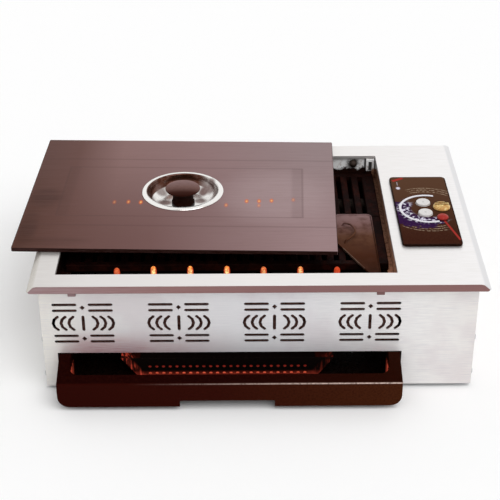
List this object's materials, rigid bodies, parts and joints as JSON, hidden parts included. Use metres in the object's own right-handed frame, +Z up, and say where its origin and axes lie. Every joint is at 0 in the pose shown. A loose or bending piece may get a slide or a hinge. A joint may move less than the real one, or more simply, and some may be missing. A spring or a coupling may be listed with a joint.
{
  "type": "gas yakiniku grill",
  "caption": "Built-in gas yakiniku grill with a cast grate, a loose lid with a sunk knob, a control panel and a water drawer below.",
  "frame": {"origin": "middle of the base plate's underside, below the middle of the flange", "axes": "+X to the control bay on the right, +Y to the rear, +Z up"},
  "size_m": [0.5696, 0.4308, 0.1628],
  "materials": {
    "stainless": "bright brushed stainless sheet",
    "panel_steel": "satin light grey",
    "mauve_trim": "satin mauve",
    "liner_steel": "bright steel, heat stained",
    "zinc_steel": "dull zinc plate",
    "cast_iron": "black, rough",
    "burner_steel": "heat darkened steel",
    "brass": "machined brass",
    "lid_glass": "opaque mauve-brown printed glass, glossy",
    "chrome": "polished chrome",
    "knob_plastic": "dark brown, glossy",
    "enamel": "very dark brown enamel",
    "control_film": "dark brown printed film",
    "white_plastic": "white",
    "amber_plastic": "amber",
    "red_lens": "red lens",
    "rubber": "matt black",
    "ceramic": "glazed white ceramic",
    "board": "green laminate",
    "black_plastic": "black moulded case"
  },
  "bodies": {
    "housing": {"top_plate": "stainless", "front_panel": "panel_steel", "rear_panel": "panel_steel", "left_panel": "panel_steel", "right_panel": "panel_steel", "front_edge_trim": "mauve_trim", "front_clip_left": "mauve_trim", "front_clip_right": "mauve_trim", "firebox": "liner_steel", "resting_plate": "liner_steel", "base_plate": "zinc_steel", "gas_rail": "zinc_steel", "heat_shield": "zinc_steel", "runner_left": "zinc_steel", "runner_right": "zinc_steel", "screw_left_front_upper": "zinc_steel", "screw_left_front_lower": "zinc_steel", "screw_left_rear_upper": "zinc_steel", "screw_left_rear_lower": "zinc_steel", "screw_right_front_upper": "zinc_steel", "screw_right_front_lower": "zinc_steel", "screw_right_rear_upper": "zinc_steel", "screw_right_rear_lower": "zinc_steel", "grate_rear": "cast_iron", "grate_front": "cast_iron", "burner_front": "burner_steel", "burner_rear": "burner_steel", "mixing_tube_front": "burner_steel", "mixing_tube_rear": "burner_steel", "flame_sensor": "burner_steel", "injector_front": "brass", "injector_rear": "brass", "gas_valve": "brass", "inlet_pipe": "brass", "hose_nipple": "brass", "inlet_nut": "brass", "control_panel": "control_film", "dial_band": "white_plastic", "pilot_lamp": "red_lens", "foot_front_left": "rubber", "foot_front_right": "rubber", "foot_rear_left": "rubber", "foot_rear_right": "rubber", "spark_electrode": "ceramic", "circuit_board": "board", "igniter_module": "black_plastic", "battery_box": "black_plastic"},
    "lid": {"lid_plate": "lid_glass", "lid_cup": "chrome", "lid_knob": "knob_plastic", "lid_knob_screw": "zinc_steel"},
    "drawer": {"drawer_frame": "enamel", "water_pan": "enamel", "perforated_tray": "burner_steel"},
    "flame_control": {"flame_knob": "amber_plastic", "valve_spindle": "brass"},
    "ignite_switch": {"ignite_button": "white_plastic"},
    "stop_switch": {"stop_button": "white_plastic"}
  },
  "joints": [
    {"name": "lid_lift", "type": "slide", "parent": "housing", "child": "lid", "axis": [0, 0, 1], "range_m": [0, 0.12]},
    {"name": "drawer_slide", "type": "slide", "parent": "housing", "child": "drawer", "axis": [0, -1, 0], "range_m": [-0.0435, 0.15]},
    {"name": "flame_turn", "type": "hinge", "parent": "housing", "child": "flame_control", "pos_m": [0.235, -0.004, 0.15], "axis": [0, 0, -1], "range_deg": [0, 210]},
    {"name": "ignite_press", "type": "slide", "parent": "housing", "child": "ignite_switch", "axis": [0, 0, -1], "range_m": [0, 0.002], "stiffness_N_per_m": 600, "springref_m": -0.001},
    {"name": "stop_press", "type": "slide", "parent": "housing", "child": "stop_switch", "axis": [0, 0, -1], "range_m": [0, 0.002], "stiffness_N_per_m": 600, "springref_m": -0.001}
  ]
}
